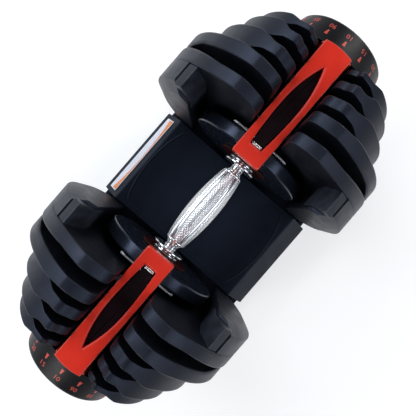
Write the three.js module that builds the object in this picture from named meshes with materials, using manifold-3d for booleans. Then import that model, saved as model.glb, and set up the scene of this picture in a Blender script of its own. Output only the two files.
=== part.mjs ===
// Adjustable dumbbell standing in its storage tray.
// Millimetres. +X runs along the handle, +Y points to the labelled side of the tray, +Z is up.
// The origin is on the floor, below the middle of the handle.

import * as THREE from 'three';
import { mergeVertices } from 'three/addons/utils/BufferGeometryUtils.js';
import Module from 'manifold-3d';

const wasm = await Module();
wasm.setup();

// ---------- driving dimensions ----------

const HALF_LENGTH = 215;
const SHAFT_HEIGHT = 128.5;
const CLEARANCE = 0.3;
const ROUND_SEGMENTS = 40;

// Weight plates of one head. Number 1 is the outermost and number 5 the innermost.
// thin: X range next to the notch. wide: X range at both sides. The front face of a plate looks
// to the handle. Each face runs from its thin place to its wide place over its ramp, a range of
// distances from the middle.
const PLATES = [
  { number: 1, radius: 83, thin: [174.5, 180], wide: [170.8, 183.6],
    frontRamp: [43, 53], backRamp: [42, 53] },
  { number: 2, radius: 91.4, thin: [155, 163.5], wide: [151.2, 169.6],
    frontRamp: [44, 54], backRamp: [43, 54] },
  { number: 3, radius: 101.8, thin: [132.5, 143], wide: [126, 149],
    frontRamp: [50, 66], backRamp: [44, 62] },
  { number: 4, radius: 118.4, thin: [109, 120], wide: [105.6, 122.6],
    frontRamp: [94, 108], backRamp: [46, 62] },
  { number: 5, radius: 119.5, thin: [86, 97.5], wide: [61, 104.2],
    frontRamp: [66, 80], backRamp: [66, 110] },
];
const RIM_CHAMFER = 3.5;

const NOTCH_HALF_WIDTH = 17.5;
const NOTCH_SHOULDER_DROP = 16.5;
const NOTCH_HUMP = 0.335;
const SHOULDER_START = 8;
const SHOULDER_BEND = 2;
const SHOULDER_REACH = [6, 1.5];

const LOBE_WALL = 71;
const LOBE_BEVEL_RADIUS = 106;
const LOBE_BEVEL_LENGTH = 7;
const LOBE_SLANT = [[LOBE_WALL, 62], [91, 79]];
const PAD_X = [64, 86.5];
const PAD_OUTLINE = [[69.7, 0], [69.7, 64], [81.3, 86], [88.2, 86], [88.2, 0]];

// Selector: one disc per plate, on a sleeve that the dial turns.
const SETTINGS = 17;
const SETTING_ANGLE = (2 * Math.PI) / SETTINGS;
const DISC_RADIUS = 42;
const FLANGE_INNER_RADIUS = 36;
const DISC_WEB = 2.4;
const SLEEVE_RADIUS = 13.6;
const SLEEVE_BORE = 6.9;
const SLEEVE_X = [80.9, 186];
const DISCS = [
  { plate: 1, x: [166, 173.2], lifts: [1, 4, 6, 9, 11, 14, 16] },
  { plate: 2, x: [145.2, 153], lifts: [2, 7, 12, 15, 16] },
  { plate: 3, x: [122, 130.8], lifts: [3, 4, 8, 9, 13, 14, 15, 16] },
  { plate: 4, x: [99, 107.4], lifts: [10, 11, 12, 13, 14, 15, 16] },
  { plate: 5, x: [81, 85.6], lifts: [5, 6, 7, 8, 9, 10, 11, 12, 13, 14, 15, 16] },
];
const TAB_HALF_WIDTH = 7;
const TAB_Z = [-34.5, -29];

// Dial
const DIAL_INNER_X = 186.4;
const DIAL_INNER_RADIUS = 58;
const DIAL_OUTER_RADIUS = 50.5;
const DIAL_FACE_RADIUS = 44;
const DIAL_FACE_X = 209;
const DIAL_WALL = 4;
const DIAL_FACE_WALL = 3.5;
const DIAL_LIP_CHAMFER = 2;
const DIAL_HUB_WALL = 3;
const CAP_RADIUS = 43.3;
const CAP_BACK_X = 211.6;
const CAP_BAR = [6, 40];
const CAP_HUB_RADIUS = 13;
const CAP_HOLE_RADIUS = 9.5;
const CAP_END_X = 214.8;
const SCREW_RADIUS = 8.9;
const SCREW_END_X = 213.6;
const SCREW_SOCKET_RADIUS = 4;
const SCREW_SOCKET_FLOOR_X = 211.4;

// Handle
const SHAFT_RADIUS = 6.5;
const SHAFT_END = 209;
const GRIP_RADIUS = 15.5;
const GRIP_END_RADIUS = 9.6;
const GRIP_KNURL_END = 47.5;
const GRIP_END = 53.8;
const GRIP_NECK_RADIUS = 9;
const GRIP_NECK_LENGTH = 1.6;
const GRIP_LIP = 0.8;
const RING_CHAMFER = 0.8;
const FLANGE_RING_X = [55, 57.4];
const FLANGE_RING_RADIUS = 18.5;
const COLLAR_X = [57.7, 61.8];
const COLLAR_RADIUS = 12;

const GUARD_X = [64, 77];
const GUARD_RADIUS = 64.5;
const GUARD_CHAMFER = 1.5;
const STEEL_PLATE_X = [78.5, 80.5];
const STEEL_PLATE_RADIUS = 62;
const STEEL_PLATE_HALF_WIDTH = 31;

const BRIDGE_X = [56.4, 187];
const BRIDGE_HALF_WIDTH = 14.9;
const BRIDGE_Z = [57, 67];
const BRIDGE_FLANGE_X = [62.1, 63.7];
const BRIDGE_FLANGE_RADIUS = 28;
const BRIDGE_RISER_FOOT = 20;
const BRIDGE_END_BOW = 2;
const BRIDGE_OUTER_LEG_X = [184.1, 186];
const BRIDGE_LEG_HALF_WIDTH = 16.9;
const BRIDGE_LEG_FOOT = -17.6;
const WINDOW_X = [71, 165];
const WINDOW_WIDEST_X = 117;
const WINDOW_INNER_HALF_WIDTH = 6.3;
const WINDOW_HALF_WIDTH = 8.9;
const WINDOW_TIP_BEND_X = 143;
const INSERT_Z = [57.5, 62];
const CLIP_X = [71.6, 74.6];
const CLIP_HALF_WIDTH = 5.2;
const CLIP_Z = [60.3, 64.2];
const CLIP_SLOT_HALF_WIDTH = 7;
const CLIP_SLOT_FLOOR = 60;

const LOCK_PIN_X = 70.5;
const LOCK_PIN_RADIUS = 4;
const LOCK_PIN_Z = [-68.5, -41];
const LOCK_BORE_TOP = -30;
const LOCK_POST_RADIUS = 5;
const LOCK_POST_FOOT = 46;
const LOCK_PILLAR_RADIUS = 8;
const LOCK_PILLAR_FOOT = 7.5;
const SPRING_WIRE = 0.7;
const SPRING_TURNS = 3;

// Tray
const TRAY_FLOOR = 3;
const TRAY_WALL = 3.5;
const TRAY_HALF_DEPTH = 110;
const TRAY_MIDDLE_HALF_LENGTH = 60;
const APRON_FOOT = 50;
const SADDLE_EDGE = [88, 74];
const SADDLE_MIDDLE = 63;
const CRADLE_TOP = 58;
const CRADLE_HALF_DEPTH = 104;
const CRADLE_END = 192;
const CRADLE_CORNER = 40;
const RIB_HALF_DEPTH = 38;
const RIB_TOP = 60;
const RIBS_X = [[100, 106.5], [123.5, 129.5], [146, 152], [166.5, 172]];
const RIB_REACH = 8;
const TROUGH_GAP = 0.55;
const THINNEST_WALL = 1.5;
const FOOT_RADIUS = 9;
const FOOT_BOSS_RADIUS = 11;
const FOOT_AT = [158, 82];
const LABEL_SIZE = [108, 15, 0.5];
const LABEL_AT = [99.2, 61.8];

// ---------- materials ----------

const material = (color, roughness, metalness) =>
  new THREE.MeshStandardMaterial({ color, roughness, metalness });
const plateSkin = () => material(0x171b24, 0.5, 0);
const blackPlastic = () => material(0x0e1014, 0.45, 0);
const trayPlastic = () => material(0x161d29, 0.55, 0);
const redPlastic = () => material(0xdc2a1e, 0.4, 0);
const chrome = () => material(0xd8dadd, 0.15, 1);
const steel = () => material(0x9a9da3, 0.35, 1);
const rubber = () => material(0x101010, 0.9, 0);

// ---------- solids ----------

// Turns a closed geometry into a solid, with its faces pointing out.
function solid(geometry) {
  const bare = geometry.index ? geometry.toNonIndexed() : geometry.clone();
  bare.deleteAttribute('normal');
  bare.deleteAttribute('uv');
  const merged = mergeVertices(bare, 1e-4);
  const vertProperties = new Float32Array(merged.attributes.position.array);
  const triVerts = new Uint32Array(withoutSlivers(merged.index.array));
  if (signedVolume(vertProperties, triVerts) < 0) turnOver(triVerts);
  return new wasm.Manifold(new wasm.Mesh({ numProp: 3, vertProperties, triVerts }));
}

// Swaps two corners of every triangle, so that the faces point the other way.
function turnOver(triangles) {
  for (let i = 0; i < triangles.length; i += 3) {
    [triangles[i + 1], triangles[i + 2]] = [triangles[i + 2], triangles[i + 1]];
  }
}

// Faces whose corners merged into one point have no area.
function withoutSlivers(index) {
  const kept = [];
  for (let i = 0; i < index.length; i += 3) {
    const [a, b, c] = [index[i], index[i + 1], index[i + 2]];
    if (a !== b && b !== c && c !== a) kept.push(a, b, c);
  }
  return kept;
}

function signedVolume(points, triangles) {
  const [a, b, c] = [new THREE.Vector3(), new THREE.Vector3(), new THREE.Vector3()];
  let sum = 0;
  for (let i = 0; i < triangles.length; i += 3) {
    a.fromArray(points, 3 * triangles[i]);
    b.fromArray(points, 3 * triangles[i + 1]);
    c.fromArray(points, 3 * triangles[i + 2]);
    sum += a.dot(b.cross(c));
  }
  return sum;
}

function geometryOf(manifold) {
  const mesh = manifold.getMesh();
  const geometry = new THREE.BufferGeometry();
  geometry.setAttribute('position', new THREE.BufferAttribute(mesh.vertProperties, 3));
  geometry.setIndex(new THREE.BufferAttribute(mesh.triVerts, 1));
  geometry.computeVertexNormals();
  return geometry;
}

// A profile of [x, radius] points, turned about the X axis.
function turned(profile, segments = ROUND_SEGMENTS) {
  const points = profile.map(([x, radius]) => new THREE.Vector2(radius, x));
  return solid(new THREE.LatheGeometry(points, segments).rotateZ(-Math.PI / 2));
}

function cylinder(radius, [from, to], segments = ROUND_SEGMENTS) {
  return turned([[from, 0], [from, radius], [to, radius], [to, 0]], segments);
}

function ring(inner, outer, [from, to], segments = ROUND_SEGMENTS) {
  const profile = [[from, inner], [from, outer], [to, outer], [to, inner], [from, inner]];
  return turned(profile, segments);
}

function upright(radius, [low, high], segments = 12) {
  const tube = new THREE.CylinderGeometry(radius, radius, high - low, segments);
  return solid(tube.rotateX(Math.PI / 2).translate(0, 0, (low + high) / 2));
}

function box([x0, x1], [y0, y1], [z0, z1]) {
  const geometry = new THREE.BoxGeometry(x1 - x0, y1 - y0, z1 - z0);
  return solid(geometry.translate((x0 + x1) / 2, (y0 + y1) / 2, (z0 + z1) / 2));
}

function shapeOf(points) {
  return new THREE.Shape(points.map(([u, v]) => new THREE.Vector2(u, v)));
}

// A [y, z] outline pulled along X.
function alongX(points, [from, to]) {
  const geometry = new THREE.ExtrudeGeometry(shapeOf(points), {
    depth: to - from, bevelEnabled: false,
  });
  const turn = new THREE.Matrix4().makeBasis(
    new THREE.Vector3(0, 1, 0), new THREE.Vector3(0, 0, 1), new THREE.Vector3(1, 0, 0));
  return solid(geometry.applyMatrix4(turn).translate(from, 0, 0));
}

// An [x, y] outline pulled along Z.
function alongZ(shape, [from, to], curveSegments = 12) {
  const geometry = new THREE.ExtrudeGeometry(shape, {
    depth: to - from, bevelEnabled: false, curveSegments,
  });
  return solid(geometry.translate(0, 0, from));
}

const mirrored = (points) => points.map(([y, z]) => [-y, z]).reverse();
const joined = (solids) => solids.reduce((whole, next) => whole.add(next));
const grow = ([from, to], by) => [from - by, to + by];

// ---------- weight plates ----------

// The open slot at the top of a plate, with rounded shoulders.
function notch(radius) {
  const bottom = [];
  for (let i = 0; i <= 12; i += 1) {
    const angle = Math.PI + (Math.PI * i) / 12;
    bottom.push([NOTCH_HALF_WIDTH * Math.cos(angle), NOTCH_HALF_WIDTH * Math.sin(angle)]);
  }
  const edge = radius - NOTCH_SHOULDER_DROP;
  const hump = NOTCH_HUMP * radius;
  const [across, up] = SHOULDER_REACH;
  const shoulder = new THREE.QuadraticBezierCurve(
    new THREE.Vector2(NOTCH_HALF_WIDTH, edge - SHOULDER_START),
    new THREE.Vector2(NOTCH_HALF_WIDTH, edge - SHOULDER_BEND),
    new THREE.Vector2(NOTCH_HALF_WIDTH + across, edge + up));
  const right = shoulder.getPoints(4).map((p) => [p.x, p.y]);
  right.push([hump, Math.sqrt(radius ** 2 - hump ** 2)], [hump, radius + 2]);
  const outline = [...bottom, ...right, ...mirrored(right)];
  return alongX(outline, [0, HALF_LENGTH]);
}

// Seen from above, a plate is thin in the middle and wide at both sides.
function footprint({ radius, thin, wide, frontRamp, backRamp }) {
  const far = radius + 1;
  const face = (side, [start, end]) => [[wide[side], -far], [wide[side], -end],
    [thin[side], -start], [thin[side], start], [wide[side], end], [wide[side], far]];
  const outline = [...face(1, backRamp), ...face(0, frontRamp).reverse()];
  return alongZ(shapeOf(outline), [-far, far]);
}

function chamferedDisc(radius, [from, to], chamfer) {
  return turned([[from, 0], [from, radius - chamfer], [from + chamfer, radius],
    [to - chamfer, radius], [to, radius - chamfer], [to, 0]]);
}

// The hook that the selector disc catches, below the shaft.
function tab(plate, disc) {
  const reach = [disc.x[0] + DISC_WEB + 1, plate.thin[0] + 1];
  return box(reach, [-TAB_HALF_WIDTH, TAB_HALF_WIDTH], TAB_Z);
}

function plainPlate(plate) {
  const disc = chamferedDisc(plate.radius, plate.wide, RIM_CHAMFER);
  return disc.intersect(footprint(plate));
}

// The innermost plate also has two thick lobes beside the guard disc, each with a pad.
function lobedPlate(plate) {
  const web = plainPlate({ ...plate, wide: [plate.thin[0], plate.wide[1]] });
  const front = plate.wide[0];
  const block = turned([[front, 0], [front, LOBE_BEVEL_RADIUS],
    [front + LOBE_BEVEL_LENGTH, plate.radius], [PAD_X[1], plate.radius], [PAD_X[1], 0]]);
  const far = plate.radius + 1;
  const upper = [...LOBE_SLANT, [far, LOBE_SLANT[1][1]]];
  const outline = [...upper.map(([y, z]) => [y, -z]).reverse(), ...upper];
  const lobes = alongX(outline, [front, PAD_X[1]]).add(alongX(mirrored(outline), [front, PAD_X[1]]));
  const pads = alongX(PAD_OUTLINE, PAD_X).add(alongX(mirrored(PAD_OUTLINE), PAD_X));
  const rounded = cylinder(plate.radius, PAD_X);
  return joined([web, block.intersect(lobes), rounded.intersect(pads)]);
}

function weightPlate(plate) {
  const disc = DISCS.find(({ plate: number }) => number === plate.number);
  const body = plate.number === 5 ? lobedPlate(plate) : plainPlate(plate);
  return body.subtract(notch(plate.radius)).add(tab(plate, disc));
}

// ---------- selector and dial ----------

// Neighbouring settings that lift the same plate share one flange.
function runsOf(settings) {
  const runs = [];
  for (const setting of settings) {
    const last = runs.at(-1);
    if (last && last[1] === setting - 1) last[1] = setting;
    else runs.push([setting, setting]);
  }
  return runs;
}

// Setting n passes the bottom once the dial has turned n steps.
function flange([first, last], x) {
  const count = last - first + 1;
  const start = (first - 0.42) * SETTING_ANGLE;
  const span = (last - first + 0.84) * SETTING_ANGLE;
  const arc = (radius) => Array.from({ length: count + 1 }, (_, i) => {
    const angle = start + (span * i) / count;
    return [radius * Math.sin(angle), -radius * Math.cos(angle)];
  });
  return alongX([...arc(DISC_RADIUS), ...arc(FLANGE_INNER_RADIUS).reverse()], x);
}

function selectorDisc({ x, lifts }) {
  const web = ring(SLEEVE_RADIUS + CLEARANCE, DISC_RADIUS, [x[0], x[0] + DISC_WEB], SETTINGS);
  const flanges = runsOf(lifts).map((run) => flange(run, [x[0] + DISC_WEB - 0.5, x[1]]));
  return joined([web, ...flanges]);
}

const selectorSleeve = () => ring(SLEEVE_BORE, SLEEVE_RADIUS, SLEEVE_X, 20);

function dialDrum() {
  const bore = SLEEVE_BORE;
  const back = DIAL_INNER_X;
  const lip = DIAL_LIP_CHAMFER;
  const hub = SLEEVE_RADIUS + DIAL_HUB_WALL;
  const inside = DIAL_FACE_X - DIAL_FACE_WALL;
  return turned([[back, DIAL_INNER_RADIUS - DIAL_WALL], [back, DIAL_INNER_RADIUS],
    [HALF_LENGTH - lip, DIAL_OUTER_RADIUS], [HALF_LENGTH, DIAL_OUTER_RADIUS - lip],
    [HALF_LENGTH, DIAL_FACE_RADIUS], [DIAL_FACE_X, DIAL_FACE_RADIUS], [DIAL_FACE_X, bore],
    [back, bore], [back, hub], [inside, hub],
    [inside, DIAL_FACE_RADIUS + 1], [back, DIAL_INNER_RADIUS - DIAL_WALL]], 2 * SETTINGS);
}

// The finger bar across the dial's end face.
function dialCap() {
  const plate = cylinder(CAP_RADIUS, [DIAL_FACE_X + CLEARANCE, CAP_BACK_X], 28);
  const raised = [CAP_BACK_X - 0.6, CAP_END_X];
  const [across, along] = CAP_BAR;
  const bar = box(raised, [-across, across], [-along, along]);
  const hub = cylinder(CAP_HUB_RADIUS, raised, 20);
  const hole = cylinder(CAP_HOLE_RADIUS, [DIAL_FACE_X, HALF_LENGTH + 1], 16);
  return joined([plate, bar, hub]).subtract(hole);
}

function endScrew() {
  const head = cylinder(SCREW_RADIUS, [SHAFT_END + CLEARANCE, SCREW_END_X], 16);
  return head.subtract(cylinder(SCREW_SOCKET_RADIUS, [SCREW_SOCKET_FLOOR_X, HALF_LENGTH], 6));
}

// ---------- handle ----------

const shaft = () => cylinder(SHAFT_RADIUS, [-SHAFT_END, SHAFT_END], 20);

// A barrel-shaped grip with a rounded neck at each end, bored for the shaft.
function grip() {
  const bore = SHAFT_RADIUS + CLEARANCE;
  const barrel = (x) =>
    GRIP_END_RADIUS + (GRIP_RADIUS - GRIP_END_RADIUS) * (1 - (x / GRIP_KNURL_END) ** 2);
  const neck = GRIP_END - GRIP_NECK_LENGTH;
  const lip = bore + GRIP_LIP;
  const outline = [[-GRIP_END, bore], [-GRIP_END, lip], [-neck, GRIP_NECK_RADIUS]];
  const steps = 10;
  for (let i = 0; i <= steps; i += 1) {
    const x = GRIP_KNURL_END * ((2 * i) / steps - 1);
    outline.push([x, barrel(x)]);
  }
  outline.push([neck, GRIP_NECK_RADIUS], [GRIP_END, lip], [GRIP_END, bore], [-GRIP_END, bore]);
  return turned(outline, 20);
}

function flangeRing() {
  const bore = SHAFT_RADIUS + CLEARANCE;
  const [from, to] = FLANGE_RING_X;
  const [outer, edge] = [FLANGE_RING_RADIUS, FLANGE_RING_RADIUS - RING_CHAMFER];
  return turned([[from, bore], [from, edge], [from + RING_CHAMFER, outer],
    [to - RING_CHAMFER, outer], [to, edge], [to, bore], [from, bore]], 24);
}

const collar = () => ring(SHAFT_RADIUS + CLEARANCE, COLLAR_RADIUS, COLLAR_X, 20);

// The guard has a seat for the bridge at its top and a blind hole for the lock pin below.
function guardDisc() {
  const disc = chamferedDisc(GUARD_RADIUS, GUARD_X, GUARD_CHAMFER)
    .subtract(cylinder(SHAFT_RADIUS + CLEARANCE, grow(GUARD_X, 1), 20));
  const half = BRIDGE_HALF_WIDTH + CLEARANCE;
  const seat = box(grow(GUARD_X, 1), [-half, half], [BRIDGE_Z[0] - 0.5, GUARD_RADIUS + 2]);
  const hole = upright(LOCK_PIN_RADIUS + CLEARANCE, [-GUARD_RADIUS - 1, LOCK_BORE_TOP])
    .translate([LOCK_PIN_X, 0, 0]);
  return disc.subtract(seat).subtract(hole);
}

function steelPlate() {
  const half = STEEL_PLATE_HALF_WIDTH;
  const strip = box(STEEL_PLATE_X, [-half, half], [-STEEL_PLATE_RADIUS, BRIDGE_Z[0] - 0.6]);
  return cylinder(STEEL_PLATE_RADIUS, STEEL_PLATE_X).intersect(strip)
    .subtract(cylinder(SHAFT_RADIUS + CLEARANCE, grow(STEEL_PLATE_X, 1), 20));
}

// The window narrows to a point at its outer end.
function windowShape(inset) {
  const inner = WINDOW_X[0] + inset;
  const tip = WINDOW_X[1] - 2 * inset;
  const start = WINDOW_INNER_HALF_WIDTH - inset;
  const widest = WINDOW_HALF_WIDTH - inset;
  const outline = new THREE.Shape();
  outline.moveTo(inner, -start);
  outline.quadraticCurveTo((inner + WINDOW_WIDEST_X) / 2, -widest, WINDOW_WIDEST_X, -widest);
  outline.quadraticCurveTo(WINDOW_TIP_BEND_X, -widest, tip, 0);
  outline.quadraticCurveTo(WINDOW_TIP_BEND_X, widest, WINDOW_WIDEST_X, widest);
  outline.quadraticCurveTo((inner + WINDOW_WIDEST_X) / 2, widest, inner, start);
  outline.closePath();
  return outline;
}

// The bar lies in the notches of the plates and is carried by a round flange and an outer leg.
function bridge() {
  const [inner, outer] = BRIDGE_X;
  const half = BRIDGE_HALF_WIDTH;
  const bow = BRIDGE_END_BOW;
  const top = new THREE.Shape();
  top.moveTo(inner, -half);
  top.lineTo(outer - bow, -half);
  top.quadraticCurveTo(outer + bow, 0, outer - bow, half);
  top.lineTo(inner, half);
  top.closePath();
  const bar = alongZ(top, BRIDGE_Z, 6).subtract(alongZ(windowShape(0), grow(BRIDGE_Z, 1), 6));
  const disc = cylinder(BRIDGE_FLANGE_RADIUS, BRIDGE_FLANGE_X, 28);
  const joint = BRIDGE_Z[0] + 1;
  const riser = box(BRIDGE_FLANGE_X, [-half, half], [BRIDGE_RISER_FOOT, joint]);
  const legHalf = BRIDGE_LEG_HALF_WIDTH;
  const leg = box(BRIDGE_OUTER_LEG_X, [-legHalf, legHalf], [BRIDGE_LEG_FOOT, joint]);
  return joined([bar, disc, riser, leg])
    .subtract(cylinder(SHAFT_RADIUS + CLEARANCE, grow(BRIDGE_FLANGE_X, 1), 20))
    .subtract(cylinder(SLEEVE_RADIUS + CLEARANCE, grow(BRIDGE_OUTER_LEG_X, 1), 20))
    .subtract(cylinder(DIAL_INNER_RADIUS + 0.5, [BRIDGE_OUTER_LEG_X[1], outer + bow], 2 * SETTINGS));
}

// The insert has a slot across its inner end for the clip.
function windowInsert() {
  const half = CLIP_SLOT_HALF_WIDTH;
  const slot = box(grow(CLIP_X, CLEARANCE), [-half, half], [CLIP_SLOT_FLOOR, INSERT_Z[1] + 1]);
  return alongZ(windowShape(CLEARANCE), INSERT_Z, 6).subtract(slot);
}

const windowClip = () => box(CLIP_X, [-CLIP_HALF_WIDTH, CLIP_HALF_WIDTH], CLIP_Z);

const lockPin = () => upright(LOCK_PIN_RADIUS, LOCK_PIN_Z);

// A coil spring between the lock pin and the blind end of its hole.
function lockSpring() {
  const radius = LOCK_PIN_RADIUS - SPRING_WIRE - 0.2;
  const low = LOCK_PIN_Z[1] + SPRING_WIRE + CLEARANCE;
  const high = LOCK_BORE_TOP - SPRING_WIRE - CLEARANCE;
  class Helix extends THREE.Curve {
    getPoint(t, target = new THREE.Vector3()) {
      const angle = 2 * Math.PI * SPRING_TURNS * t;
      const z = low + (high - low) * t;
      return target.set(radius * Math.cos(angle), radius * Math.sin(angle), z);
    }
  }
  const wire = new THREE.Shape().absarc(0, 0, SPRING_WIRE, 0, 2 * Math.PI);
  const geometry = new THREE.ExtrudeGeometry(wire, {
    extrudePath: new Helix(), steps: 9 * SPRING_TURNS, curveSegments: 3,
  });
  return solid(geometry);
}

// ---------- tray ----------

// Outline of the middle of the tray: upright sides, sloping aprons and a dished saddle.
function middleOutline(wall) {
  const depth = TRAY_HALF_DEPTH - wall;
  const [edgeY, edgeZ] = [SADDLE_EDGE[0] - wall * 0.4, SADDLE_EDGE[1] - wall];
  const dish = new THREE.QuadraticBezierCurve(
    new THREE.Vector2(edgeY, edgeZ),
    new THREE.Vector2(0, 2 * (SADDLE_MIDDLE - wall) - edgeZ),
    new THREE.Vector2(-edgeY, edgeZ));
  return [[depth, TRAY_FLOOR - wall], [depth, APRON_FOOT - wall * 0.4],
    ...dish.getPoints(10).map((p) => [p.x, p.y]),
    [-depth, APRON_FOOT - wall * 0.4], [-depth, TRAY_FLOOR - wall]];
}

function middleBlock(wall) {
  const half = TRAY_MIDDLE_HALF_LENGTH - wall;
  return alongX(middleOutline(wall), [-half, half]);
}

function cradleBlock(wall) {
  const [x, y, r] = [CRADLE_END - wall, CRADLE_HALF_DEPTH - wall, CRADLE_CORNER - wall];
  const start = TRAY_MIDDLE_HALF_LENGTH - TRAY_WALL + (wall ? TRAY_WALL + 3 : 0);
  const outline = new THREE.Shape();
  outline.moveTo(start, -y);
  outline.lineTo(x - r, -y);
  outline.absarc(x - r, -y + r, r, -Math.PI / 2, 0);
  outline.absarc(x - r, y - r, r, 0, Math.PI / 2);
  outline.lineTo(start, y);
  outline.closePath();
  return alongZ(outline, [TRAY_FLOOR - wall, CRADLE_TOP - wall], 5);
}

// The round troughs that hold the plates of one head. Two that nearly meet share a step, with no
// thin wall between them.
function troughs(wall) {
  return joined(PLATES.map(({ radius, wide, number }) => {
    const outer = PLATES.find((plate) => plate.number === number - 1);
    const close = outer && outer.wide[0] - wide[1] < THINNEST_WALL + 2 * TROUGH_GAP;
    const end = close ? outer.wide[0] - TROUGH_GAP : wide[1] + TROUGH_GAP;
    const segments = wall ? 24 : ROUND_SEGMENTS;
    const reach = [wide[0] - TROUGH_GAP - wall, end + wall];
    return cylinder(radius + TROUGH_GAP + wall, reach, segments).translate([0, 0, SHAFT_HEIGHT]);
  }));
}

function cradle() {
  const inside = cradleBlock(TRAY_WALL).subtract(troughs(TRAY_WALL));
  const hollow = cradleBlock(0).subtract(troughs(0)).subtract(inside);
  const ribs = RIBS_X.map((x) =>
    box(x, [-RIB_HALF_DEPTH, RIB_HALF_DEPTH], [ribFoot(x), RIB_TOP]));
  const [footX, footY] = FOOT_AT;
  const bosses = [-1, 1].map((side) =>
    upright(FOOT_BOSS_RADIUS, [TRAY_FLOOR, CRADLE_TOP - 1]).translate([footX, side * footY, 0])
      .subtract(troughs(0)));
  const post = upright(LOCK_PILLAR_RADIUS, [LOCK_PILLAR_FOOT, LOCK_POST_FOOT])
    .translate([LOCK_PIN_X, 0, 0]);
  return joined([hollow, ...ribs, ...bosses, post]);
}

// A rib starts inside the shell below the deepest trough beside it.
function ribFoot([from, to]) {
  const beside = PLATES.filter(({ wide }) => wide[0] < to + RIB_REACH && wide[1] > from - RIB_REACH);
  const deepest = Math.max(...beside.map(({ radius }) => radius));
  return SHAFT_HEIGHT - deepest - 2;
}

const lockPost = () => upright(LOCK_POST_RADIUS,
  [LOCK_POST_FOOT + CLEARANCE, SHAFT_HEIGHT + LOCK_PIN_Z[0] - CLEARANCE]);

function trayShell() {
  const right = cradle();
  const middle = middleBlock(0).subtract(middleBlock(TRAY_WALL));
  return joined([middle, right, right.rotate([0, 0, 180])]);
}

function foot() {
  return upright(FOOT_RADIUS, [0, TRAY_FLOOR - CLEARANCE]);
}

// ---------- assembly ----------

const group = new THREE.Group();

function place(parent, name, shape, finish, [x, y, z] = [0, 0, 0]) {
  const mesh = new THREE.Mesh(geometryOf(shape), finish);
  mesh.name = name;
  mesh.position.set(x, y, z);
  parent.add(mesh);
  return mesh;
}

// One head with everything that belongs to it, in the frame of the shaft, pointing to +X.
function head(side) {
  const frame = new THREE.Group();
  for (const plate of PLATES) {
    place(frame, `${side}_plate_${plate.number}`, weightPlate(plate), plateSkin());
  }
  for (const disc of DISCS) {
    place(frame, `${side}_selector_disc_${disc.plate}`, selectorDisc(disc), blackPlastic());
  }
  place(frame, `${side}_selector_sleeve`, selectorSleeve(), steel());
  place(frame, `${side}_dial_drum`, dialDrum(), blackPlastic());
  place(frame, `${side}_dial_cap`, dialCap(), blackPlastic());
  place(frame, `${side}_end_screw`, endScrew(), steel());
  place(frame, `${side}_flange_ring`, flangeRing(), chrome());
  place(frame, `${side}_collar`, collar(), chrome());
  place(frame, `${side}_guard_disc`, guardDisc(), blackPlastic());
  place(frame, `${side}_side_plate`, steelPlate(), steel());
  place(frame, `${side}_bridge`, bridge(), redPlastic());
  place(frame, `${side}_window_insert`, windowInsert(), blackPlastic());
  place(frame, `${side}_window_clip`, windowClip(), chrome());
  place(frame, `${side}_lock_pin`, lockPin(), steel(), [LOCK_PIN_X, 0, 0]);
  place(frame, `${side}_lock_spring`, lockSpring(), steel(), [LOCK_PIN_X, 0, 0]);
  return frame;
}

const dumbbell = new THREE.Group();
dumbbell.position.z = SHAFT_HEIGHT;
dumbbell.add(head('right'));
const leftHead = head('left');
leftHead.rotation.z = Math.PI;
dumbbell.add(leftHead);
place(dumbbell, 'shaft', shaft(), steel());
place(dumbbell, 'grip', grip(), chrome());
group.add(dumbbell);

place(group, 'tray_shell', trayShell(), trayPlastic());
const label = place(group, 'tray_label', box([-LABEL_SIZE[0] / 2, LABEL_SIZE[0] / 2],
  [-LABEL_SIZE[1] / 2, LABEL_SIZE[1] / 2], [0, LABEL_SIZE[2]]), material(0xe8e8ec, 0.5, 0));
const apronAngle = Math.atan2(SADDLE_EDGE[1] - APRON_FOOT, TRAY_HALF_DEPTH - SADDLE_EDGE[0]);
const normal = [Math.sin(apronAngle), Math.cos(apronAngle)];
label.position.set(0, LABEL_AT[0] + CLEARANCE * normal[0], LABEL_AT[1] + CLEARANCE * normal[1]);
label.rotation.x = -apronAngle;

for (const [side, direction] of [['right', 1], ['left', -1]]) {
  place(group, `${side}_lock_post`, lockPost(), steel(), [direction * LOCK_PIN_X, 0, 0]);
  for (const [end, across] of [['front', -1], ['rear', 1]]) {
    const at = [direction * FOOT_AT[0], across * FOOT_AT[1], 0];
    place(group, `${side}_${end}_foot`, foot(), rubber(), at);
  }
}

export default group;
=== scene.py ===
# The finished look of the adjustable dumbbell in its tray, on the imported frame.
# Shapes are worked out in millimetres and written in metres. Each head is built pointing to +X in
# the frame of the shaft, and the left head is the right one turned half round about Z.

import functools
import math

import bmesh
import bpy
from mathutils import Matrix, Vector


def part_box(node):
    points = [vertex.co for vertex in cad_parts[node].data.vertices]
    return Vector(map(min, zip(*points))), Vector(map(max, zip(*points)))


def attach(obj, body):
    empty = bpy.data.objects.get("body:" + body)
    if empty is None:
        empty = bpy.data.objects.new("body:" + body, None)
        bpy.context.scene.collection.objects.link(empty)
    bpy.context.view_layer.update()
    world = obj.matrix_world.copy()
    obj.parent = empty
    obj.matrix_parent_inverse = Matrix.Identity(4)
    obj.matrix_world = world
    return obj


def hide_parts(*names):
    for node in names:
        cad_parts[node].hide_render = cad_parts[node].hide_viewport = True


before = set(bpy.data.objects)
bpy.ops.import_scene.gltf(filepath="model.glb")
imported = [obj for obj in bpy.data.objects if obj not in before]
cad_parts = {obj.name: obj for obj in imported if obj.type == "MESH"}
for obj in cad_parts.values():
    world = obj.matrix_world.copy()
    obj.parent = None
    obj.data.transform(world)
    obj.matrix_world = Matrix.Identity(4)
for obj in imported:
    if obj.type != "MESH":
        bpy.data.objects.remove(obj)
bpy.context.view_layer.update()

MM = 0.001

SIDES = ("right", "left")


@functools.cache
def box_mm(node):
    """Lowest and highest corner of a CAD node, in millimetres."""
    low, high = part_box(node)
    return low / MM, high / MM


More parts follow.
